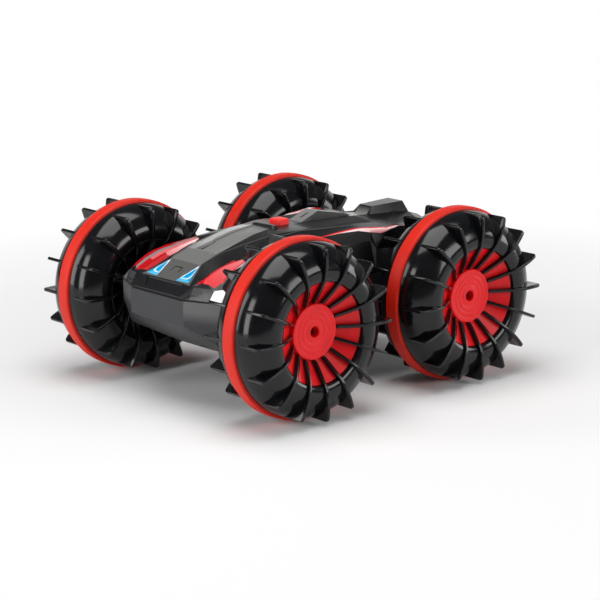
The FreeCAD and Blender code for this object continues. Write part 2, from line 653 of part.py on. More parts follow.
# ---------------------------------------------------------------- writing every node
def write_wheels():
    shared = {
        "float_outer": float_outer(), "float_inner": float_inner(), "tread_band": tread_band(),
        "fins": fins(), "hub_cap": hub_cap(), "axle": axle(), "wheel_screw": wheel_screw(),
    }
    for end_name, end in ENDS.items():
        for side_name, side in SIDES.items():
            for name, shape in {**shared, "axle_gear": axle_gear(end)}.items():
                placed = on_side(moved(shape, y=HALF_TRACK), side)
                write(f"{name}_{end_name}_{side_name}", moved(placed, x=HALF_BASE * end))


def write_drive():
    for side_name, side in SIDES.items():
        for end_name, end in ENDS.items():
            write(f"idler_{end_name}_{side_name}", on_side(idler(end), side))
        write(f"middle_gear_{side_name}", on_side(middle_gear(), side))
        write(f"motor_rotor_{side_name}", on_side(rotor(), side))
        write(f"motor_{side_name}", on_side(motor(), side))
        write(f"gear_plate_{side_name}", on_side(gear_plate(), side))


def write_body():
    outer = loft(UPPER)
    plates = trims(outer)
    for name, pair in plates.items():
        write(name, *pair)
    write("shell_upper", shell_upper(outer, plates))
    write("deck_ramp", deck_ramp(outer))
    write("hood_bar", hood_bar(outer))
    write("power_button", power_button())
    write("hull_lower", hull_lower())
    write("hull_seal", hull_seal())
    write("battery_pack", battery_pack())
    write("battery_door", battery_door())
    write("circuit_board", circuit_board())
    write("body_screws", *body_screws())
    write("axle_bushes", *axle_bushes())


os.makedirs("parts", exist_ok=True)
write_wheels()
write_drive()
write_body()
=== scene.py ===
"""Amphibious stunt car with four finned float wheels: finishes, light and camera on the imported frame."""

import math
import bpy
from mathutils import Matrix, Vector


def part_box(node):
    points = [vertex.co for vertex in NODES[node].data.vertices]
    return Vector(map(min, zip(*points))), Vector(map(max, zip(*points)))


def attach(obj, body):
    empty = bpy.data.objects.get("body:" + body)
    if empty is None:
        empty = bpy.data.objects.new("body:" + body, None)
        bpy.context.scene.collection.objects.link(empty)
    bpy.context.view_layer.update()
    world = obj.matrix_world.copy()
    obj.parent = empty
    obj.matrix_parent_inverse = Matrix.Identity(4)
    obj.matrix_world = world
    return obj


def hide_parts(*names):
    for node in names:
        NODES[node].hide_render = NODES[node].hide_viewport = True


bl_info = {
    "name": "Amphibious stunt car",
    "version": (1, 0, 0),
    "blender": (4, 5, 0),
    "location": "View3D > Sidebar > Stunt Car",
    "description": "Builds the looks of a finned amphibious stunt car on its packed frame",
    "category": "Object",
}

import bmesh
import bpy
from mathutils import Matrix, Vector

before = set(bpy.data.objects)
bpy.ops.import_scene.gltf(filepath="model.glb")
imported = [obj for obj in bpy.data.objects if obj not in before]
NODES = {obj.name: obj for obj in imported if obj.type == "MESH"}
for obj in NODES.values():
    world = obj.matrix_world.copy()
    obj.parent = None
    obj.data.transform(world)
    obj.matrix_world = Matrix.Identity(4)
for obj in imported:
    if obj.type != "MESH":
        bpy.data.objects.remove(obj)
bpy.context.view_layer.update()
MM = 0.001
WHEELS = [(end, side) for end in ("front", "rear") for side in ("left", "right")]


def middle_of(node):
    low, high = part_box(node)
    return [(a + b) / 2 for a, b in zip(low, high)]


BAND_LOW, BAND_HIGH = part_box("tread_band_front_left")
AXLE_HEIGHT = (BAND_HIGH[2] + BAND_LOW[2]) / 2
HEADLIGHT_FOOT_X, HEADLIGHT_OUTER_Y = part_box("headlights")[1][:2]


# ---------------------------------------------------------------- settings
class CarWheelSettings(bpy.types.PropertyGroup):
    fin_count: bpy.props.IntProperty(
        name="Fins", description="Fins on each float half", default=16, min=6, max=32
    )
    fin_thickness: bpy.props.FloatProperty(
        name="Fin thickness", description="Thickness of one fin", default=0.0018, subtype="DISTANCE",
        unit="LENGTH",
    )
    turn_steps: bpy.props.IntProperty(
        name="Turn steps", description="Facets round a wheel", default=128, min=32, max=256
    )
    float_colour: bpy.props.FloatVectorProperty(
        name="Float colour", description="Moulded float halves", default=(0.0030, 0.0033, 0.0042),
        subtype="COLOR",
    )
    band_colour: bpy.props.FloatVectorProperty(
        name="Band colour", description="Rubber tread band", default=(0.66, 0.015, 0.004), subtype="COLOR"
    )
    hub_colour: bpy.props.FloatVectorProperty(
        name="Hub colour", description="Dished hub cap", default=(0.74, 0.008, 0.012), subtype="COLOR"
    )


class CarBodySettings(bpy.types.PropertyGroup):
    shell_colour: bpy.props.FloatVectorProperty(
        name="Shell colour", description="Upper shell", default=(0.0065, 0.0068, 0.0078), subtype="COLOR"
    )
    hull_colour: bpy.props.FloatVectorProperty(
        name="Hull colour", description="Lower hull", default=(0.024, 0.025, 0.028), subtype="COLOR"
    )
    panel_colour: bpy.props.FloatVectorProperty(
        name="Panel colour", description="Grey hood plate and ramp", default=(0.19, 0.19, 0.185),
        subtype="COLOR",
    )
    nose_colour: bpy.props.FloatVectorProperty(
        name="Nose colour", description="Dark grey of the nose slope", default=(0.095, 0.094, 0.090),
        subtype="COLOR",
    )
    paint_colour: bpy.props.FloatVectorProperty(
        name="Paint colour", description="Red fenders, stripes and button", default=(0.72, 0.012, 0.018),
        subtype="COLOR",
    )
    light_colour: bpy.props.FloatVectorProperty(
        name="Headlight colour", description="Blue of the headlights", default=(0.001, 0.30, 0.60),
        subtype="COLOR",
    )
    edge_round: bpy.props.FloatProperty(
        name="Edge rounding", description="Width of the rounding on moulded edges", default=0.00035,
        subtype="DISTANCE", unit="LENGTH",
    )


class CarStageSettings(bpy.types.PropertyGroup):
    azimuth: bpy.props.FloatProperty(
        name="Azimuth", description="Where the camera stands round the car", default=math.radians(139.27),
        subtype="ANGLE",
    )
    elevation: bpy.props.FloatProperty(
        name="Elevation", description="How far the camera looks down", default=math.radians(13.63),
        subtype="ANGLE",
    )
    roll: bpy.props.FloatProperty(
        name="Roll", description="Camera's tilt about its view", default=math.radians(-0.886), subtype="ANGLE"
    )
    distance: bpy.props.FloatProperty(
        name="Distance", description="Camera's distance", default=1.2015, subtype="DISTANCE", unit="LENGTH"
    )
    aside: bpy.props.FloatProperty(
        name="Aside", description="Aim's offset to the right", default=0.00531, subtype="DISTANCE",
        unit="LENGTH",
    )
    above: bpy.props.FloatProperty(
        name="Above", description="Aim's offset upwards", default=-0.00742, subtype="DISTANCE",
        unit="LENGTH",
    )
    lens: bpy.props.FloatProperty(
        name="Lens", description="Focal length in millimetres", default=124.28, unit="CAMERA"
    )


# ---------------------------------------------------------------- shader maths
class Value:
    """A socket that takes part in Python arithmetic, each step adding its Math node."""

    def __init__(self, graph, socket):
        self.graph = graph
        self.socket = socket

    def math(self, operation, *others, clamp=False):
        return self.graph.add("ShaderNodeMath", {"operation": operation, "use_clamp": clamp}, {
            index: item for index, item in enumerate((self, *others))
        })

    def __add__(self, other):
        return self.math("ADD", other)

    def __sub__(self, other):
        return self.math("SUBTRACT", other)

    def __rsub__(self, other):
        return self.math("MULTIPLY_ADD", -1.0, other)

    def __mul__(self, other):
        return self.math("MULTIPLY", other)

    def __abs__(self):
        return self.math("ABSOLUTE")

    __radd__ = __add__
    __rmul__ = __mul__

    def above(self, level, softness):
        """0 below the level and 1 above it, with a soft step between."""
        return ((self - level) * (1.0 / softness) + 0.5).math("MULTIPLY", 1.0, clamp=True)

    def below(self, level, softness):
        return 1.0 - self.above(level, softness)

    def between(self, low, high, softness):
        return self.above(low, softness) * self.below(high, softness)

    def near(self, level, reach, softness):
        """1 within a reach of the level, for a line of twice that width."""
        return abs(self - level).below(reach, softness)

    def either(self, other):
        """The larger of two values, so 1 where either of two masks is."""
        return self.math("MAXIMUM", other)


class Graph:
    """A node tree with one method that adds any node."""

    def __init__(self, tree):
        self.nodes = tree.nodes
        self.links = tree.links

    def connect(self, socket, item):
        if isinstance(item, Value):
            self.links.new(item.socket, socket)
        elif socket.type == "RGBA" and len(item) == 3:
            socket.default_value = (*item, 1.0)
        else:
            socket.default_value = item

    def add(self, kind, settings=None, inputs=None, output=0):
        """Adds a node, sets it, fills or links its sockets and returns one of its outputs."""
        node = self.nodes.new(kind)
        for key, setting in (settings or {}).items():
            setattr(node, key, setting)
        for key, item in (inputs or {}).items():
            self.connect(node.inputs[key], item)
        return Value(self, node.outputs[output])

    def place(self, kind="Object"):
        return self.add("ShaderNodeTexCoord", output=kind)

    def axes(self, kind="Object"):
        """X, Y and Z: a point of the object in metres or, as Generated in a world, a ray's way."""
        split = self.nodes.new("ShaderNodeSeparateXYZ")
        self.links.new(self.place(kind).socket, split.inputs[0])
        return [Value(self, socket) for socket in split.outputs]

    def noise(self, scale, detail=3.0, roughness=0.5):
        return self.add("ShaderNodeTexNoise", {}, {
            "Vector": self.place(), "Scale": scale, "Detail": detail, "Roughness": roughness,
        })

    def blend(self, share, first, second):
        """Mixes two colours by a share."""
        return self.add("ShaderNodeMix", {"data_type": "RGBA"}, {0: share, 6: first, 7: second}, output=2)

    def bump(self, height, strength, distance):
        sockets = {"Height": height, "Strength": strength, "Distance": distance}
        return self.add("ShaderNodeBump", {}, sockets)


class Finish(Graph):
    """A material and the nodes that lead to its Principled shader."""

    def __init__(self, name):
        self.material = bpy.data.materials.new(name)
        self.material.use_nodes = True
        super().__init__(self.material.node_tree)
        self.shader = self.nodes["Principled BSDF"]

    def set(self, **sockets):
        for name, item in sockets.items():
            self.connect(self.shader.inputs[name.replace("_", " ")], item)
        return self.material


# ---------------------------------------------------------------- plain finishes
GRAIN = 2600.0  # fineness of a moulding's grain
GLOSS_PATCHES = 45.0  # and of the patches of uneven gloss
DULLING = 0.45  # roughness added where a print is dull


def shade(colour, factor):
    return tuple(part * factor for part in colour)


def mottled(graph, colour):
    """A moulding's colour with faint lighter patches."""
    lighter = tuple(min(1.0, part * 1.35 + 0.004) for part in colour)
    return graph.blend(graph.noise(30.0, 4.0).above(0.55, 0.6) * 0.35, tuple(colour), lighter)


def moulded_skin(graph, tone, roughness, texture=0.0, coat=0.0, spread=0.05, ior=1.45, dull=None):
    """Injection-moulded plastic over any tone: fine grain and slightly uneven gloss, duller where asked."""
    gloss = graph.noise(GLOSS_PATCHES, 4.0) * (2 * spread) + (roughness - spread)
    if dull:
        gloss = gloss + dull * DULLING
    normal = graph.bump(graph.noise(GRAIN, 2.0), 0.06 + texture, 0.00008)
    return graph.set(
        Base_Color=tone, Roughness=gloss, Normal=normal, Coat_Weight=coat, Coat_Roughness=0.06, IOR=ior
    )


def moulded(name, colour, roughness, texture=0.0, coat=0.0, spread=0.05, ior=1.45):
    """Injection-moulded plastic in one mottled colour."""
    graph = Finish(name)
    return moulded_skin(graph, mottled(graph, colour), roughness, texture, coat, spread, ior)


def painted(graph, tone):
    """Satin print film over a trim, with hardly any grain."""
    return graph.set(
        Base_Color=tone, Roughness=graph.noise(GLOSS_PATCHES) * 0.06 + 0.26, IOR=1.08,
        Normal=graph.bump(graph.noise(GRAIN, 2.0), 0.05, 0.00005),
    )


def rubber(name, colour, roughness):
    """Soft rubber with a dusty, finely pitted skin."""
    graph = Finish(name)
    dust = graph.noise(70.0, 5.0, 0.6)
    dulled = tuple(part * 0.80 + 0.02 for part in colour)
    pits = graph.noise(1800.0, 3.0, 0.6)
    return graph.set(
        Base_Color=graph.blend(dust.above(0.56, 0.35) * 0.45, tuple(colour), dulled),
        Roughness=dust * 0.16 + (roughness - 0.08), Normal=graph.bump(pits, 0.12, 0.0001), IOR=1.31,
    )


RING_PITCH = 0.0011
RINGED_RADIUS = 0.0150


def turned_plastic(name, colour, centre, roughness):
    """Moulded plastic with the faint rings that a turned mould leaves about the wheel's axle."""
    graph = Finish(name)
    x, _, z = graph.axes()
    dx, dz = x - centre[0], z - centre[2]
    radius = (dx * dx + dz * dz).math("SQRT")
    rings = (radius * (2 * math.pi / RING_PITCH)).math("SINE")
    near_hub = radius.below(RINGED_RADIUS, 0.001)
    height = rings * near_hub * 0.5 + graph.noise(900.0, 2.0) * 0.35
    wear = graph.noise(120.0, 4.0).above(0.60, 0.25)
    return graph.set(
        Base_Color=graph.blend(wear * 0.5, tuple(colour), shade(colour, 0.78)),
        Roughness=wear * 0.08 + roughness, Normal=graph.bump(height, 0.22, 0.00012), IOR=1.34,
    )


def metal(name, colour, roughness):
    """Plated steel with a drawn grain."""
    graph = Finish(name)
    grain = graph.noise(600.0, 4.0, 0.7)
    return graph.set(
        Base_Color=colour, Metallic=1.0, Roughness=grain * 0.2 + (roughness - 0.1),
        Normal=graph.bump(grain, 0.05, 0.00005),
    )


# ---------------------------------------------------------------- prints
# Places are metres along X, out from the middle line and up. These are widths of a print's soft edge.
HAIR, CRISP, CLEAN, SOFT, FADE = 0.0002, 0.0003, 0.0004, 0.0006, 0.0010

# Near-black painted shadow for the latch mark's groove.
LATCH_SHADOW = (0.006, 0.006, 0.006)
# Near-black painted shadow along the hood plate's channel wall.
CHANNEL_SHADOW = (0.008, 0.008, 0.008)
# Grey painted highlight along the flank crease.
CREASE_HIGHLIGHT = (0.075, 0.076, 0.078)
BLOCK_GREY = (0.050, 0.050, 0.052)
# Grey painted highlight along the right fender's ridge.
RIDGE_HIGHLIGHT = (0.20, 0.195, 0.195)
# Lighter grey painted light on the hull's front corner faces.
CORNER_PAINTED_LIGHT = (0.105, 0.106, 0.108)
# Grey of the right corner lamp.
RIGHT_LAMP_GREY = (0.12, 0.12, 0.125)
WEDGE_WHITE = (0.74, 0.75, 0.78)
# Shaded copies of the fender red: painted shade on faces turned from the light.
SHADED_CRIMSON = (0.52, 0.003, 0.010)
SHADED_DARK_RED = (0.40, 0.004, 0.008)
SHADED_DEEP_RED = (0.46, 0.004, 0.008)

NOSE_STEP_X, NOSE_END_X = 0.0760, 0.0905
NOSE_HALF, NOSE_FLARE = 0.0134, 0.55
LATCH_X, LATCH_HALF, LATCH_LEG, LATCH_LINE = 0.0808, 0.0032, 0.0037, 0.0003
HOOD_REAR_X, HOOD_STEP_X = 0.0220, 0.0636
TAIL_DECK = (-0.0570, -0.0300)
DECK_HEIGHT = 0.0840
CREASE_SPAN = (-0.0500, 0.0740)
CREASE_BEND_X, CREASE_BEND_Y, CREASE_FRONT_X, CREASE_FRONT_Y = 0.0160, 0.0200, 0.0600, 0.0130
BLOCK_SPAN, BLOCK_REAR_X, BLOCK_TOP = (0.0262, 0.0385), 0.0845, 0.0694
FENDER_RIDGE_Y = 0.0309
STRIPE_FOOT_X, STRIPE_FOOT_SPAN = -0.0356, (-0.0505, -0.0240)
CHANNEL_SPAN, CHANNEL_STEP_X = (0.0218, 0.0632), 0.0492


class Spot:
    """A point of the body: along X, out from the middle line, up, and 1 for the right-hand side."""

    def __init__(self, graph):
        self.x, y, self.z = graph.axes()
        self.aside = abs(y)
        self.right = y.below(0.0, HAIR)


def left_fender_paint_and_light(graph, spot, beyond, red):
    """Painted shade and reflection: a shaded crimson inner face, a pale outer face whose painted reflection
    grows towards the rear, then a red line and a white wedge outside it.
    """
    face = graph.blend(spot.x.below(0.0730, 0.0230), (0.82, 0.070, 0.078), (0.80, 0.20, 0.21))
    tone = graph.blend(beyond.above(-0.0002, 0.0008), SHADED_CRIMSON, face)
    past = beyond - (spot.x - 0.0624) * 0.24
    tone = graph.blend(past.above(0.0026, HAIR) * spot.x.below(0.0800, CLEAN), tone, tuple(red))
    return graph.blend(past.above(0.0034, HAIR) * spot.x.below(0.0792, CLEAN), tone, WEDGE_WHITE)


def right_fender_paint_and_light(graph, spot, beyond):
    """Painted light and shade: shaded deep red ahead of a slanting split and a pale painted reflection behind
    it, with a grey painted highlight along the ridge and a shaded dark red outer face.
    """
    rear_face_reflection = graph.blend(spot.x.below(0.0600, 0.0200), (0.72, 0.22, 0.22), (0.82, 0.60, 0.60))
    split = spot.x + beyond * 0.44
    tone = graph.blend(split.below(0.0678, SOFT), SHADED_DEEP_RED, rear_face_reflection)
    ridge = beyond + 0.0020
    sliver = ridge.above(-0.0026, CRISP) * spot.x.below(0.0795, FADE)
    tone = graph.blend(sliver, tone, (0.62, 0.13, 0.14))
    tone = graph.blend(ridge.above(0.0, CRISP), tone, SHADED_DARK_RED)
    return graph.blend(ridge.near(0.0, 0.0007, CRISP), tone, RIDGE_HIGHLIGHT)


# The fender's red print with painted light: shaded reds and pale painted reflections, which differ left and
# right.
def fender_paint_and_light(graph, spot, red):
    beyond = spot.aside - FENDER_RIDGE_Y
    left = left_fender_paint_and_light(graph, spot, beyond, red)
    return graph.blend(spot.right, left, right_fender_paint_and_light(graph, spot, beyond))


def nose_area(spot):
    """The nose's top slope, which widens forwards from its step."""
    within = (spot.aside - (spot.x - NOSE_STEP_X) * NOSE_FLARE).below(NOSE_HALF, CRISP)
    return spot.x.between(NOSE_STEP_X, NOSE_END_X, HAIR) * within


def latch_shadow_lines(spot):
    """Painted shadow in the engraved latch mark: three sides of a square between the headlights, open to the
    front.
    """
    crossbar = spot.x.near(LATCH_X, LATCH_LINE, HAIR) * spot.aside.below(LATCH_HALF + LATCH_LINE, HAIR)
    legs = spot.aside.near(LATCH_HALF, LATCH_LINE, HAIR) * spot.x.between(LATCH_X, LATCH_X + LATCH_LEG, HAIR)
    return crossbar.either(legs)


def hood_area(spot):
    """Grey beside the hood plate, wider on the right than on the left; the extra width on the right is a
    painted reflection.
    """
    left_limit = (spot.x - 0.0230) * 0.10 + 0.0079
    right_limit = (0.0733 - spot.x) * 0.06 + 0.0140
    limit = left_limit + spot.right * (right_limit - left_limit)
    return spot.x.between(HOOD_REAR_X, NOSE_STEP_X, CRISP) * (spot.aside - limit).below(0.0, CRISP)


def hood_tone_and_reflection(graph, spot, panel):
    """Darker ahead of the hood's step, and lighter on the right towards the rear as a painted reflection."""
    # painted reflection on the right side's rear part
    right_reflection = spot.right * spot.x.below(0.0600, 0.0120)
    side = graph.blend(right_reflection, shade(panel, 1.1), shade(panel, 1.9))
    return graph.blend(spot.x.above(HOOD_STEP_X, CLEAN), side, shade(panel, 0.8))


def tail_deck_reflection(spot):
    """Painted reflection: a grey strip between the ramp and the tail's block."""
    along = spot.x.between(*TAIL_DECK, 0.0040)
    return along * spot.aside.below(0.0050, SOFT) * spot.z.above(DECK_HEIGHT, FADE)


def deck_side_area(spot):
    """Dull deck beside the ramp."""
    along = spot.x.between(-0.0440, 0.0010, 0.0060)
    return spot.aside.between(0.0058, 0.0215, FADE) * along * spot.z.above(DECK_HEIGHT, FADE)


def crease_highlight(spot):
    """Painted highlight along the crease where the hood and deck turn down to the flank."""
    front_run = (CREASE_FRONT_X - spot.x).either(0.0) * 0.17 + CREASE_FRONT_Y
    rear_run = (CREASE_BEND_X - spot.x).either(0.0) * 0.08 + CREASE_BEND_Y
    line = (spot.aside - front_run.math("MINIMUM", rear_run)).near(0.0, 0.0003, CRISP)
    return line * spot.x.between(*CREASE_SPAN, 0.0040) * spot.z.above(0.0760, FADE)


def lamp_block_area(spot):
    """The block between each lamp and the nose."""
    front = spot.x.above(BLOCK_REAR_X, CLEAN) * spot.z.below(BLOCK_TOP, CLEAN)
    return spot.aside.between(*BLOCK_SPAN, CLEAN) * front


def lamp_block_split(spot):
    """A level dark line that steps down half-way along the block."""
    return (spot.z + spot.aside.above(0.0338, SOFT) * 0.0014).near(0.0652, 0.0002, HAIR)


def right_fender_run_on(spot):
    """The right fender's print carried inwards over the valley beside the hood."""
    valley = ((spot.x - 0.0740) * 0.20).either((0.0660 - spot.x) * 0.40) + 0.0178
    outside = (spot.aside - valley).above(0.0, CRISP) * spot.aside.below(0.0350, FADE)
    return spot.right * outside * spot.x.between(0.0465, 0.0874, SOFT) * spot.z.above(0.0690, CLEAN)


def left_fender_run_on(spot):
    """The left fender's inner edge, carried up to the hood's foot."""
    rise = ((spot.x - 0.0785) * 0.55).either(0.0) + 0.0237
    outside = (spot.aside - rise).above(0.0, CRISP) * spot.aside.below(0.0285, CRISP)
    return (1.0 - spot.right) * outside * spot.x.between(0.0610, 0.0880, CLEAN)


def stripe_foot_area(spot):
    """The shoulder stripe's lower edge, where it turns down the flank."""
    foot = spot.z - 0.0826 - abs(spot.x - STRIPE_FOOT_X) * 0.17
    return foot.above(0.0, HAIR) * spot.aside.above(0.0322, SOFT) * spot.x.between(*STRIPE_FOOT_SPAN, SOFT)


def shell_print(name, black, nose, panel, red):
    """Black shell with its grey nose and hood and the prints that run on from the trims, with painted light:
    reflections on the hood's right side and the tail deck, a highlight on the crease, shadow in the latch
    mark and shade and reflections on the fender prints.
    """
    graph = Finish(name)
    spot = Spot(graph)
    tone = graph.blend(nose_area(spot), tuple(black), tuple(nose))
    # painted shadow in the latch mark's groove
    tone = graph.blend(latch_shadow_lines(spot), tone, LATCH_SHADOW)
    # grey beside the hood, with a painted reflection on its right side
    tone = graph.blend(hood_area(spot), tone, hood_tone_and_reflection(graph, spot, panel))
    # painted reflection on the tail deck
    tone = graph.blend(tail_deck_reflection(spot), tone, shade(panel, 1.2))
    # painted highlight along the flank crease
    tone = graph.blend(crease_highlight(spot), tone, CREASE_HIGHLIGHT)
    block = lamp_block_area(spot)
    tone = graph.blend(block, tone, BLOCK_GREY)
    tone = graph.blend(lamp_block_split(spot) * block, tone, tuple(black))
    right, left, foot = right_fender_run_on(spot), left_fender_run_on(spot), stripe_foot_area(spot)
    # the fender print, with its painted reflections and shade, runs on over the shell
    tone = graph.blend(right, tone, fender_paint_and_light(graph, spot, red))
    # painted shade: shaded crimson on the left fender's inner edge
    tone = graph.blend(left, tone, SHADED_CRIMSON)
    foot_tone = graph.blend(spot.z.above(0.0838, 0.0012), (0.84, 0.24, 0.26), (0.84, 0.60, 0.60))
    tone = graph.blend(foot, tone, foot_tone)
    dull = right.either(left).either(foot).either(deck_side_area(spot))
    return moulded_skin(graph, tone, 0.26, texture=0.02, ior=1.42, dull=dull)


def fender_print_and_light(name, red):
    graph = Finish(name)
    # red print with painted reflections and shade
    return painted(graph, fender_paint_and_light(graph, Spot(graph), red))


def stripe_print(name, red):
    """Shoulder stripe: a red upper line over a pale field that turns red again at its lower middle."""
    graph = Finish(name)
    spot = Spot(graph)
    bend = (-1.0 * spot.x - 0.027).either(0.0)
    under = spot.aside - 0.0282 - bend * 0.32
    pale = under.above(0.0015, CRISP) * spot.x.below(-0.0080, 0.0160)
    glow = under.above(0.0042, 0.0030) * spot.x.below(-0.0300, 0.0080)
    tone = graph.blend(pale, tuple(red), (0.84, 0.66, 0.66))
    return painted(graph, graph.blend(glow * 0.75, tone, (0.82, 0.22, 0.24)))


def hull_with_painted_light(name, colour):
    """Charcoal hull with painted light: its front corner faces are a lighter grey towards the seam."""
    graph = Finish(name)
    spot = Spot(graph)
    # painted light on the upper part of the front corner faces
    corner = spot.aside.above(0.0237, CRISP) * spot.x.above(0.0820, FADE) * spot.z.above(0.0535, 0.0060)
    tone = graph.blend(corner, mottled(graph, colour), CORNER_PAINTED_LIGHT)
    return moulded_skin(graph, tone, 0.36, texture=0.05, ior=1.42)


def panel_with_shadow_line(name, grey):
    """Grey hood plate with a near-black painted shadow line where its channel's wall meets the hood."""
    graph = Finish(name)
    spot = Spot(graph)
    front = (0.0630 - spot.x) * 0.036 + 0.0074
    rear = (spot.x - 0.0484) * 0.057 + 0.0092
    edge = front + spot.x.below(CHANNEL_STEP_X, HAIR) * (rear - front)
    # painted shadow where the channel's wall meets the hood
    line = (edge - spot.aside).below(0.0007, HAIR) * spot.x.between(*CHANNEL_SPAN, HAIR)
    return moulded_skin(graph, graph.blend(line, tuple(grey), CHANNEL_SHADOW), 0.34, texture=0.03, ior=1.45)


def ramp_with_painted_shade(name, grey):
    """Grey ramp on the deck with side faces darkened as painted shade."""
    graph = Finish(name)
    spot = Spot(graph)
    side = (spot.aside - (spot.x + 0.0380) * 0.020 - 0.0046).above(0.0, CRISP)
    # painted shade on the ramp's side faces
    tone = graph.blend(side, tuple(grey), shade(grey, 0.22))
    return moulded_skin(graph, tone, 0.34, texture=0.03, ior=1.42, dull=side)


def lamp_print(name, white):
    """White corner lamp on the left and a grey one on the right."""
    graph = Finish(name)
    _, y, _ = graph.axes()
    return moulded_skin(graph, graph.blend(y.above(0.0, FADE), RIGHT_LAMP_GREY, white), 0.22, coat=0.4, spread=0.03)


HEADLIGHT_OUTER_SLANT, HEADLIGHT_INNER_SLANT, HEADLIGHT_WIDTH = 0.48, 0.774, 0.0096
HEADLIGHT_CREST = 0.0112
FLASH_CENTRE = (0.0018, -0.0004)
FLASH_SWEEP = (0.0000030, 0.0000058)


def headlight_print(name, colour):
    """Blue headlight edged in white at its tip and inner side, with a curved pale flash across it."""
    graph = Finish(name)
    spot = Spot(graph)
    from_foot = HEADLIGHT_FOOT_X - spot.x
    # Distance inwards from the outer edge, which runs from the low outer corner to the top one.
    inward = (HEADLIGHT_OUTER_Y - spot.aside) - from_foot * HEADLIGHT_OUTER_SLANT
    # A hyperbola's arm leaves the inner edge low down, bends and follows the outer edge up to the tip.
    sweep = (from_foot - FLASH_CENTRE[0]) * (inward - FLASH_CENTRE[1])
    flash = sweep.between(*FLASH_SWEEP, 0.0000016) * from_foot.above(0.0022, SOFT)
    inner_rim = (from_foot * HEADLIGHT_INNER_SLANT + inward).above(HEADLIGHT_WIDTH, CRISP)
    rim = (inner_rim * from_foot.above(0.0030, FADE)).either(from_foot.above(HEADLIGHT_CREST, FADE))
    foot = (from_foot - inward * 0.35).below(0.0016, 0.0012)
    pale = (0.80, 0.92, 0.97)
    tone = graph.blend(foot * 0.40, tuple(colour), (0.20, 0.62, 0.86))
    tone = graph.blend(flash * 0.85, tone, pale)
    tone = graph.blend(rim * 0.9, tone, pale)
    return graph.set(Base_Color=tone, Roughness=graph.noise(60.0) * 0.05 + 0.20, IOR=1.12)


# ---------------------------------------------------------------- modelling helpers
MERGE = 0.00001  # doubles closer than this are one vertex
COPY_MERGE = 0.000004
FLAT_TURN = math.radians(3.0)  # faces that turn less than this are dissolved into one


def clear_selection():
    if bpy.context.object and bpy.context.object.mode != "OBJECT":
        bpy.ops.object.mode_set(mode="OBJECT")
    bpy.ops.object.select_all(action="DESELECT")


def pick(*objects):
    clear_selection()
    for item in objects:
        item.select_set(True)
    bpy.context.view_layer.objects.active = objects[-1]


def edit(item):
    pick(item)
    bpy.ops.object.mode_set(mode="EDIT")
    bpy.ops.mesh.select_all(action="SELECT")


def done():
    bpy.ops.object.mode_set(mode="OBJECT")


def chain(name, points, closed):
    """A line of vertices drawn point by point from a collapsed plane."""
    clear_selection()
    bpy.ops.mesh.primitive_plane_add(size=0.01, location=(0, 0, 0))
    item = bpy.context.object
    item.name = name
    item.data.name = name
    edit(item)
    bpy.ops.mesh.merge(type="CENTER")
    bpy.ops.transform.translate(value=points[0])
    for start, end in zip(points, points[1:]):
        step = Vector(end) - Vector(start)
        bpy.ops.mesh.extrude_region_move(TRANSFORM_OT_translate={"value": step})
    if closed:
        bpy.ops.mesh.select_all(action="SELECT")
        bpy.ops.mesh.edge_face_add()
    return item


def arc(start, via, end, count):
    """Points on the circle through three points, from just after start up to end."""
    (ax, ay), (bx, by), (cx, cy) = start, via, end
    d = 2 * (ax * (by - cy) + bx * (cy - ay) + cx * (ay - by))
    sa, sb, sc = ax * ax + ay * ay, bx * bx + by * by, cx * cx + cy * cy
    ux = (sa * (by - cy) + sb * (cy - ay) + sc * (ay - by)) / d
    uy = (sa * (cx - bx) + sb * (ax - cx) + sc * (bx - ax)) / d
    radius = math.hypot(ax - ux, ay - uy)
    first = math.atan2(ay - uy, ax - ux)
    turn = (math.atan2(cy - uy, cx - ux) - first + math.pi) % (2 * math.pi) - math.pi
    return [
        (ux + radius * math.cos(first + turn * n / count), uy + radius * math.sin(first + turn * n / count))
        for n in range(1, count + 1)
    ]


def lathe(name, outline, steps):
    """Spins an outline of (radius, along) millimetres about the Y axis into a closed skin."""
    points = [(radius * MM, along * MM, 0.0) for radius, along in outline]
    item = chain(name, points + [points[0]], False)
    bpy.ops.mesh.select_all(action="SELECT")
    bpy.ops.mesh.spin(steps=steps, angle=2 * math.pi, center=(0, 0, 0), axis=(0, 1, 0))
    bpy.ops.mesh.select_all(action="SELECT")
    bpy.ops.mesh.remove_doubles(threshold=MERGE)
    bpy.ops.mesh.normals_make_consistent(inside=False)
    done()
    return item


def smooth(item, degrees):
    pick(item)
    bpy.ops.object.shade_smooth_by_angle(angle=math.radians(degrees))


def paint(item, material):
    item.data.materials.clear()
    item.data.materials.append(material)


def apply_modifier(item, kind, **settings):
    pick(item)
    modifier = item.modifiers.new(kind.title(), kind)
    for key, setting in settings.items():
        setattr(modifier, key, setting)
    bpy.ops.object.modifier_apply(modifier=modifier.name)


def copy_at(item, name, x, y, turned):
    """A copy with its own mesh, turned to face the other side if asked, its place in its mesh."""
    made = item.copy()
    made.data = item.data.copy()
    made.name = name
    made.data.name = name
    bpy.context.scene.collection.objects.link(made)
    pick(made)
    if turned:
        made.rotation_euler = (math.pi, 0, 0)
    made.location = (x, y, AXLE_HEIGHT)
    bpy.ops.object.transform_apply(location=True, rotation=True, scale=True)
    return made


def wheel_place(end, side):
    centre = middle_of(f"tread_band_{end}_{side}")
    return centre[0], centre[1]


def spread_over_wheels(item, stem, material):
    """Sets one modelled wheel piece on all four wheels in place of its node."""
    for end, side in WHEELS:
        x, y = wheel_place(end, side)
        made = copy_at(item, f"{stem}_skin_{end}_{side}", x, y, side == "right")
        paint(made, material(made, end, side))
        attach(made, f"wheel_{end}_{side}")
        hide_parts(f"{stem}_{end}_{side}")
    bpy.data.objects.remove(item)


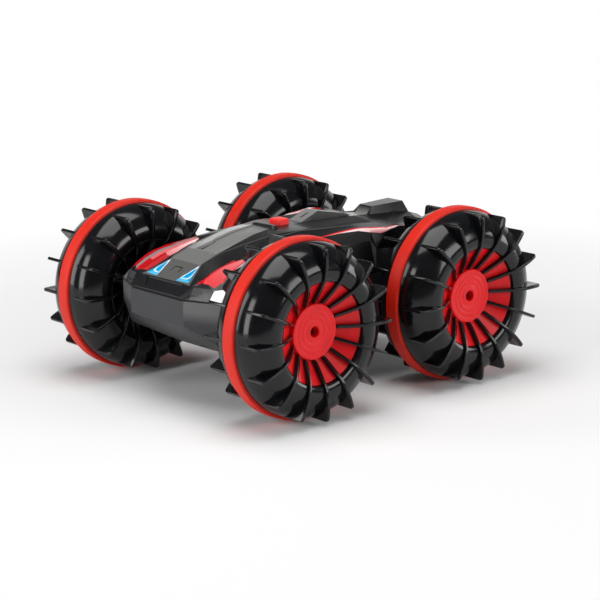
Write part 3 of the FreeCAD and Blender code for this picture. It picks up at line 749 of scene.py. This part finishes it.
def weigh_edges(item, sharp):
    """Marks the outward edges that get a rounding. The inward ones stay crisp."""
    limit = math.radians(sharp)
    shape = bmesh.new()
    shape.from_mesh(item.data)
    weight = shape.edges.layers.float.new("bevel_weight_edge")
    for edge in shape.edges:
        turn = edge.calc_face_angle_signed(0.0) if edge.is_manifold else 0.0
        edge[weight] = 1.0 if turn > limit else 0.0
        edge.smooth = abs(turn) < limit
    shape.to_mesh(item.data)
    shape.free()


def finished_copy(node, material, body="chassis", bevel=0.0003, sharp=14.0, edge=None):
    """A copy of a node's mesh with merged facets and rounded edges, standing for the node.

    With an edge material, only outward edges are rounded and the rounding takes that material, a lighter grey
    that paints a highlight on them.
    """
    item = bpy.data.objects.new(f"{node}_skin", NODES[node].data.copy())
    bpy.context.scene.collection.objects.link(item)
    edit(item)
    bpy.ops.mesh.remove_doubles(threshold=COPY_MERGE)
    bpy.ops.mesh.dissolve_limited(angle_limit=FLAT_TURN)
    done()
    pick(item)
    bpy.ops.object.shade_smooth()
    paint(item, material)
    rounding = {"width": bevel, "segments": 2, "harden_normals": True, "use_clamp_overlap": True}
    if edge:
        weigh_edges(item, sharp)
        item.data.materials.append(edge)
        apply_modifier(item, "BEVEL", limit_method="WEIGHT", material=1, **rounding)
    else:
        apply_modifier(item, "BEVEL", limit_method="ANGLE", angle_limit=math.radians(sharp), **rounding)
    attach(item, body)
    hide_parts(node)
    return item


# ---------------------------------------------------------------- wheel pieces
# Outlines are (radius, distance out from the band's middle) in millimetres.
FLOAT_SKIN = (
    [(44.9, 0.05), (46.5, 0.05), (46.5, 4.45), (47.9, 4.55), (48.25, 5.0)]
    + arc((48.25, 5.0), (45.3, 13.9), (38.5, 19.6), 10) + arc((38.5, 19.6), (33.6, 21.1), (28.9, 20.2), 8)
    + [(28.35, 19.7)]
)
FIN_FREE_EDGE = (
    [(15.6, 10.4), (15.6, 12.7)] + arc((15.6, 12.7), (22.0, 17.5), (29.5, 22.0), 6)
    + arc((29.5, 22.0), (37.5, 23.45), (46.0, 22.9), 6) + arc((46.0, 22.9), (47.4, 22.2), (47.9, 20.6), 4)
)
FIN_SEATED_EDGE = [
    (47.85, 6.8), (46.6, 7.8), (44.2, 13.4), (41.6, 16.4), (38.1, 18.8), (33.6, 20.2), (29.6, 19.5),
    (28.4, 18.4),
]
FLOAT_INSIDE = [(30.4, 18.9), (37.8, 18.1), (43.9, 13.0), (46.0, 6.0), (44.9, 4.5)]
OPEN_LIP = [(28.25, 18.6), (28.25, 16.7), (30.4, 16.7)] + FLOAT_INSIDE
DISH = [
    (28.2, 18.0), (15.4, 9.9), (15.0, 9.6), (2.1, 9.6), (2.1, -5.35), (6.5, -5.35), (6.5, 7.8), (15.8, 7.8),
    (29.4, 16.6),
] + FLOAT_INSIDE
BAND = (
    [(46.7, -4.25), (49.0, -4.25)] + arc((49.0, -4.25), (49.6, -4.0), (49.85, -3.4), 3)
    + arc((49.85, -3.4), (49.98, 0.0), (49.85, 3.4), 6) + arc((49.85, 3.4), (49.6, 4.0), (49.0, 4.25), 3)
    + [(46.7, 4.25)]
)
BAND_STEPS = 160
CAP_DISH = [(27.9, 17.9)] + arc((27.9, 17.9), (21.0, 13.4), (15.5, 9.9), 8)
CAP_BOSS = [(15.2, 9.9), (15.2, 12.1)] + arc((15.2, 12.1), (15.05, 12.55), (14.6, 12.7), 3)
CAP_GROOVES = (12.2, 9.3, 6.3)
CAP_FACE, CAP_GROOVE_FLOOR = 12.7, 12.58
CAP_INSIDE = [
    (3.3, 12.7), (2.95, 12.4), (2.9, 6.6), (1.3, 6.6), (1.3, 5.4), (6.45, 5.4), (6.45, 10.6), (13.6, 10.6),
    (13.6, 8.2), (27.2, 15.8), (28.0, 16.6), (28.1, 17.6),
]
FIN_ROUNDING = 0.00042


def fin_fan(name, settings):
    """All fins on one half of a wheel: one is drawn, thickened and rounded, and spun round the axle."""
    outline = [(radius * MM, along * MM, 0.0) for radius, along in FIN_FREE_EDGE + FIN_SEATED_EDGE]
    item = chain(name, outline, True)
    half = settings.fin_thickness / 2
    bpy.ops.transform.translate(value=(0, 0, -half))
    bpy.ops.mesh.extrude_region_move(TRANSFORM_OT_translate={"value": (0, 0, 2 * half)})
    bpy.ops.mesh.select_all(action="SELECT")
    bpy.ops.mesh.normals_make_consistent(inside=False)
    done()
    apply_modifier(
        item, "BEVEL", width=FIN_ROUNDING, segments=3, limit_method="ANGLE", angle_limit=math.radians(50)
    )
    edit(item)
    bpy.ops.mesh.spin(
        steps=settings.fin_count, angle=2 * math.pi, dupli=True, center=(0, 0, 0), axis=(0, 1, 0)
    )
    bpy.ops.mesh.select_all(action="SELECT")
    bpy.ops.mesh.remove_doubles(threshold=MERGE)
    done()
    return item


def both_halves(item):
    """Joins an outboard piece with its copy turned over for the inboard half."""
    other = item.copy()
    other.data = item.data.copy()
    bpy.context.scene.collection.objects.link(other)
    turn_over(other)
    pick(other, item)
    bpy.ops.object.join()
    return item


def turn_over(item):
    pick(item)
    item.rotation_euler = (math.pi, 0, 0)
    bpy.ops.object.transform_apply(location=True, rotation=True, scale=True)


def float_half(name, inside, settings):
    bowl = lathe(name, FLOAT_SKIN + inside, settings.turn_steps)
    smooth(bowl, 35.0)
    return bowl


class CAR_OT_floats(bpy.types.Operator):
    """Models both float halves and their fins and sets them on every wheel"""

    bl_idname = "car.floats"
    bl_label = "Floats and fins"

    def execute(self, context):
        settings = context.scene.car_wheels
        black = moulded("Float_Black", settings.float_colour, 0.14, spread=0.03, ior=1.42)
        outer = float_half("Float_Outer", OPEN_LIP, settings)
        spread_over_wheels(outer, "float_outer", lambda made, end, side: black)
        inner = float_half("Float_Inner", DISH, settings)
        turn_over(inner)
        spread_over_wheels(inner, "float_inner", lambda made, end, side: black)
        fins = both_halves(fin_fan("Fins", settings))
        smooth(fins, 35.0)
        spread_over_wheels(fins, "fins", lambda made, end, side: black)
        return {"FINISHED"}


class CAR_OT_bands(bpy.types.Operator):
    """Models the rubber tread bands"""

    bl_idname = "car.bands"
    bl_label = "Tread bands"

    def execute(self, context):
        settings = context.scene.car_wheels
        red = rubber("Band_Rubber", settings.band_colour, 0.46)
        band = lathe("Tread_Band", BAND, BAND_STEPS)
        smooth(band, 50.0)
        spread_over_wheels(band, "tread_band", lambda made, end, side: red)
        return {"FINISHED"}


class CAR_OT_hubs(bpy.types.Operator):
    """Models the dished hub caps with their stepped boss"""

    bl_idname = "car.hubs"
    bl_label = "Hub caps"

    def execute(self, context):
        settings = context.scene.car_wheels
        outline = CAP_DISH + CAP_BOSS
        for ring in CAP_GROOVES:
            outline += [
                (ring + 0.4, CAP_FACE), (ring + 0.15, CAP_GROOVE_FLOOR), (ring - 0.15, CAP_GROOVE_FLOOR),
                (ring - 0.4, CAP_FACE),
            ]
        cap = lathe("Hub_Cap", outline + CAP_INSIDE, settings.turn_steps)
        smooth(cap, 28.0)

        def red(made, end, side):
            return turned_plastic(
                f"Hub_Red_{end}_{side}", settings.hub_colour, middle_of(f"hub_cap_{end}_{side}"), 0.30
            )

        spread_over_wheels(cap, "hub_cap", red)
        return {"FINISHED"}


# ---------------------------------------------------------------- body pieces
class CAR_OT_hull(bpy.types.Operator):
    """Finishes the lower hull, its seal, battery door and shaft bushes"""

    bl_idname = "car.hull"
    bl_label = "Lower hull"

    def execute(self, context):
        settings = context.scene.car_body
        # lighter grey on the hull's rounded edges: a painted highlight
        edge = moulded("Hull_Edge_Highlight", (0.060, 0.061, 0.063), 0.40, ior=1.42)
        charcoal = moulded("Hull_Charcoal", settings.hull_colour, 0.36, texture=0.05, ior=1.42)
        hull = hull_with_painted_light("Hull_With_Painted_Light", settings.hull_colour)
        finished_copy("hull_lower", hull, bevel=settings.edge_round * 1.6, edge=edge)
        finished_copy("battery_door", charcoal, bevel=settings.edge_round * 0.6, sharp=40)
        paint(NODES["hull_seal"], rubber("Seal_Rubber", (0.012, 0.012, 0.012), 0.6))
        paint(NODES["axle_bushes"], moulded("Bush_Black", (0.02, 0.02, 0.022), 0.4))
        return {"FINISHED"}


class CAR_OT_shell(bpy.types.Operator):
    """Finishes the upper shell with its hood plate, bar, ramp and button"""

    bl_idname = "car.shell"
    bl_label = "Upper shell"

    def execute(self, context):
        settings = context.scene.car_body
        black = shell_print(
            "Top_Print", settings.shell_colour, settings.nose_colour, settings.panel_colour,
            settings.paint_colour,
        )
        # lighter grey on the shell's rounded edges: a painted highlight
        edge = moulded("Top_Edge_Highlight", (0.055, 0.056, 0.058), 0.34, ior=1.42)
        panel = panel_with_shadow_line("Panel_With_Shadow_Line", settings.panel_colour)
        grey = ramp_with_painted_shade("Ramp_With_Painted_Shade", settings.panel_colour)
        red = moulded("Button_Red", (0.84, 0.022, 0.018), 0.34, ior=1.38)
        width = settings.edge_round
        finished_copy("shell_upper", black, bevel=width * 1.3, sharp=9.0, edge=edge)
        bar = moulded("Bar_Black", settings.shell_colour, 0.30, coat=0.2)
        finished_copy("hood_bar", bar, bevel=width)
        finished_copy("hood_panel", panel, bevel=width * 0.5)
        finished_copy("deck_ramp", grey, bevel=width)
        finished_copy("power_button", red, body="button", bevel=width, sharp=30)
        return {"FINISHED"}


class CAR_OT_trims(bpy.types.Operator):
    """Finishes the painted fender panels, shoulder stripes, headlights and corner lamps"""

    bl_idname = "car.trims"
    bl_label = "Painted trims"

    def execute(self, context):
        settings = context.scene.car_body
        fender = fender_print_and_light("Fender_Print_And_Light", settings.paint_colour)
        stripe = stripe_print("Stripe_Print", settings.paint_colour)
        white = lamp_print("Lamp_White", (0.97, 0.97, 0.98))
        width = settings.edge_round * 0.45
        blue = headlight_print("Headlight_Print", settings.light_colour)
        finished_copy("fenders", fender, bevel=width, sharp=20)
        finished_copy("stripes", stripe, bevel=width, sharp=20)
        finished_copy("lamps", white, bevel=width, sharp=20)
        finished_copy("headlights", blue, bevel=width, sharp=20)
        return {"FINISHED"}


class CAR_OT_drive(bpy.types.Operator):
    """Gives the shafts, gears, motors, board and cells their finishes"""

    bl_idname = "car.drive"
    bl_label = "Drive and electrics"

    def execute(self, context):
        steel = metal("Bright_Steel", (0.60, 0.60, 0.60), 0.32)
        dark_steel = metal("Blackened_Steel", (0.05, 0.05, 0.055), 0.40)
        can = metal("Motor_Can", (0.52, 0.52, 0.53), 0.38)
        nylon = moulded("Gear_Nylon", (0.72, 0.71, 0.66), 0.45)
        board = moulded("Board_Green", (0.02, 0.16, 0.06), 0.35)
        sleeve = moulded("Cell_Sleeve", (0.03, 0.12, 0.40), 0.30)
        finishes = {
            "axle": steel, "wheel_screw": dark_steel, "motor_rotor": steel, "body_screws": steel,
            "motor": can, "axle_gear": nylon, "idler": nylon, "middle_gear": nylon, "gear_plate": nylon,
            "circuit_board": board, "battery_pack": sleeve,
        }
        ends = ("", "_left", "_right") + tuple(f"_{end}_{side}" for end, side in WHEELS)
        for stem, finish in finishes.items():
            for tail in ends:
                if stem + tail in NODES:
                    paint(NODES[stem + tail], finish)
        return {"FINISHED"}


# ---------------------------------------------------------------- stage
def camera_for(settings):
    """A camera that stands at an azimuth, elevation and distance from the middle of the axles."""
    turn, rise = settings.azimuth, settings.elevation
    back = Vector((math.sin(turn) * math.cos(rise), -math.cos(turn) * math.cos(rise), math.sin(rise)))
    level = Vector((math.cos(turn), math.sin(turn), 0.0))
    upright = back.cross(level)
    right = level * math.cos(settings.roll) + upright * math.sin(settings.roll)
    up = upright * math.cos(settings.roll) - level * math.sin(settings.roll)
    aim = Vector((0, 0, AXLE_HEIGHT)) + right * settings.aside + up * settings.above
    place = aim + back * settings.distance
    data = bpy.data.cameras.new("Studio_Camera")
    data.lens = settings.lens
    data.sensor_width = 36.0
    data.clip_start = 0.05
    camera = bpy.data.objects.new("Studio_Camera", data)
    rows = Matrix((right, up, back)).transposed().to_4x4()
    rows.translation = place
    camera.matrix_world = rows
    bpy.context.scene.collection.objects.link(camera)
    return camera


def soft_box(name, place, aim, size, power):
    data = bpy.data.lights.new(name, "AREA")
    data.shape = "RECTANGLE"
    data.size, data.size_y = size
    data.energy = power
    lamp = bpy.data.objects.new(name, data)
    lamp.location = place
    lamp.rotation_euler = (Vector(aim) - Vector(place)).to_track_quat("-Z", "Y").to_euler()
    bpy.context.scene.collection.objects.link(lamp)
    return lamp


WHITE = (1.0, 1.0, 1.0)
AMBIENT = 0.13
FLOOR_TONE = (0.82, 0.82, 0.82)
FADE_RADIUS, FADE_WIDTH = 0.30, 0.32
BACKDROP_WAY = (-0.64, -0.77)


def floor_finish():
    """Pale floor that takes the car's shadow near it and fades into the white backdrop further out."""
    graph = Finish("Floor_White")
    x, y, _ = graph.axes()
    far = (x * x + y * y).math("SQRT").above(FADE_RADIUS, FADE_WIDTH)
    graph.set(Base_Color=FLOOR_TONE, Roughness=0.9, Specular_IOR_Level=0.1)
    white = graph.add("ShaderNodeEmission", {}, {"Color": WHITE, "Strength": 1.0})
    seen = graph.add("ShaderNodeLightPath", output="Is Camera Ray")
    plain = Value(graph, graph.shader.outputs[0])
    mixed = graph.add("ShaderNodeMixShader", {}, {0: far * seen, 1: plain, 2: white})
    graph.links.new(mixed.socket, graph.nodes["Material Output"].inputs["Surface"])
    return graph.material


def backdrop_share(graph):
    """1 for camera rays, and for glossy and transmitted rays that reach the white backdrop behind the car."""
    x, y, z = graph.axes("Generated")
    turned = (x * BACKDROP_WAY[0] + y * BACKDROP_WAY[1]).above(2 / 3, 1 / 3)
    low = z.below(0.35, 1 / 6)
    kinds = ("Camera", "Glossy", "Transmission")
    camera, glossy, transmitted = (
        graph.add("ShaderNodeLightPath", output=f"Is {kind} Ray") for kind in kinds
    )
    return camera.either(turned * low * glossy.either(transmitted))


def studio_world():
    """Dim surroundings, with the backdrop at a strength of 1 where it is seen or mirrored."""
    world = bpy.data.worlds.new("Studio_World")
    world.use_nodes = True
    graph = Graph(world.node_tree)
    dim = graph.nodes["Background"]
    graph.connect(dim.inputs["Color"], WHITE)
    graph.connect(dim.inputs["Strength"], AMBIENT)
    white = graph.add("ShaderNodeBackground", {}, {"Color": WHITE, "Strength": 1.0})
    sockets = {0: backdrop_share(graph), 1: Value(graph, dim.outputs[0]), 2: white}
    mixed = graph.add("ShaderNodeMixShader", {}, sockets)
    graph.links.new(mixed.socket, graph.nodes["World Output"].inputs["Surface"])
    return world


class CAR_OT_stage(bpy.types.Operator):
    """Sets the white floor, soft studio light and camera"""

    bl_idname = "car.stage"
    bl_label = "Stage"

    def execute(self, context):
        scene = context.scene
        clear_selection()
        bpy.ops.mesh.primitive_plane_add(size=40.0, location=(0, 0, -0.0004))
        floor = context.object
        floor.name = "Studio_Floor"
        bpy.ops.object.transform_apply(location=True, rotation=True, scale=True)
        floor.data.materials.append(floor_finish())
        lamps = [
            soft_box("Top_Box", (0.10, 0.05, 1.00), (0, 0, 0.04), (0.9, 0.8), 8.5),
            soft_box("Front_Box", (1.15, 0.05, 0.42), (0, 0, 0.05), (0.36, 0.80), 5.5),
            soft_box("Left_Box", (0.92, -0.70, 0.42), (0, 0, 0.05), (0.36, 0.80), 4.0),
            soft_box("Side_Box", (-0.45, 1.20, 0.50), (0, 0, 0.05), (0.8, 0.5), 7.0),
            soft_box("Rear_Box", (-1.15, 0.60, 0.26), (0, 0, 0.05), (0.5, 0.45), 3.5),
        ]
        camera = camera_for(scene.car_stage)
        scene.camera = camera
        scene.world = studio_world()
        scene.view_settings.view_transform = "Standard"
        return {"FINISHED"}


class CAR_PT_panel(bpy.types.Panel):
    """Lists the car's operators and settings"""

    bl_label = "Stunt Car"
    bl_idname = "CAR_PT_panel"
    bl_space_type = "VIEW_3D"
    bl_region_type = "UI"
    bl_category = "Stunt Car"

    def draw(self, context):
        layout = self.layout
        for operator in OPERATORS:
            layout.operator(operator.bl_idname)
        for group in (context.scene.car_wheels, context.scene.car_body, context.scene.car_stage):
            box = layout.box()
            for name in group.bl_rna.properties.keys():
                if name not in ("rna_type", "name"):
                    box.prop(group, name)


OPERATORS = [
    CAR_OT_floats, CAR_OT_bands, CAR_OT_hubs, CAR_OT_hull, CAR_OT_shell, CAR_OT_trims, CAR_OT_drive,
    CAR_OT_stage,
]
GROUPS = {"car_wheels": CarWheelSettings, "car_body": CarBodySettings, "car_stage": CarStageSettings}


def register():
    for name, group in GROUPS.items():
        bpy.utils.register_class(group)
        setattr(bpy.types.Scene, name, bpy.props.PointerProperty(type=group))
    for item in [*OPERATORS, CAR_PT_panel]:
        bpy.utils.register_class(item)


def unregister():
    for item in [CAR_PT_panel, *reversed(OPERATORS)]:
        bpy.utils.unregister_class(item)
    for name, group in GROUPS.items():
        delattr(bpy.types.Scene, name)
        bpy.utils.unregister_class(group)


def main():
    register()
    for operator in OPERATORS:
        group, name = operator.bl_idname.split(".")
        getattr(getattr(bpy.ops, group), name)()


if __name__ == "__main__":
    main()
